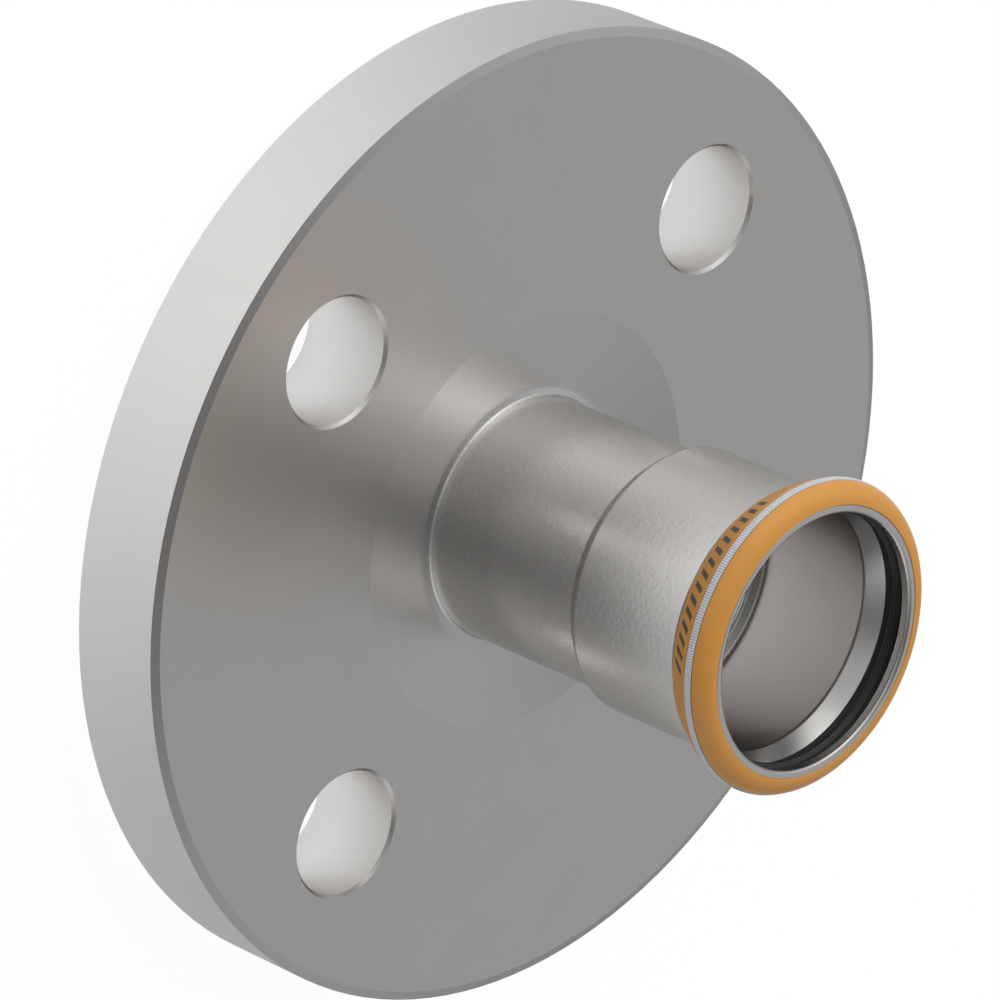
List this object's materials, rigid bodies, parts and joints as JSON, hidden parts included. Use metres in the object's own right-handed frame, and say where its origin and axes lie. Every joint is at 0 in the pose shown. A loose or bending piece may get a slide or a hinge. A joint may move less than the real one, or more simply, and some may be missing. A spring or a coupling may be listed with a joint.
{
  "type": "transition flange",
  "caption": "Round steel pipe flange welded to a short tube that widens into a press socket with a seal ring and an orange indicator sleeve.",
  "frame": {"origin": "centre of the raised mating face, which lies on Z = 0", "axes": "+Z along the waterway from the mating face to the socket's mouth, +Y up in the picture, bolt holes on the diagonals of X and Y"},
  "size_m": [0.14, 0.14, 0.0715],
  "materials": {
    "flange_steel": "fine turned",
    "tube_steel": "fine brushed, satin",
    "weld_steel": "smooth weld bead",
    "seal_rubber": "moulded, satin",
    "indicator_plastic": "satin, moulded",
    "band_plastic": "ribbed"
  },
  "bodies": {
    "root": {"flange": "flange_steel", "press_socket": "tube_steel", "weld_seam": "weld_steel", "seal_ring": "seal_rubber", "press_indicator": "indicator_plastic", "ribbed_band": "band_plastic"}
  },
  "joints": []
}
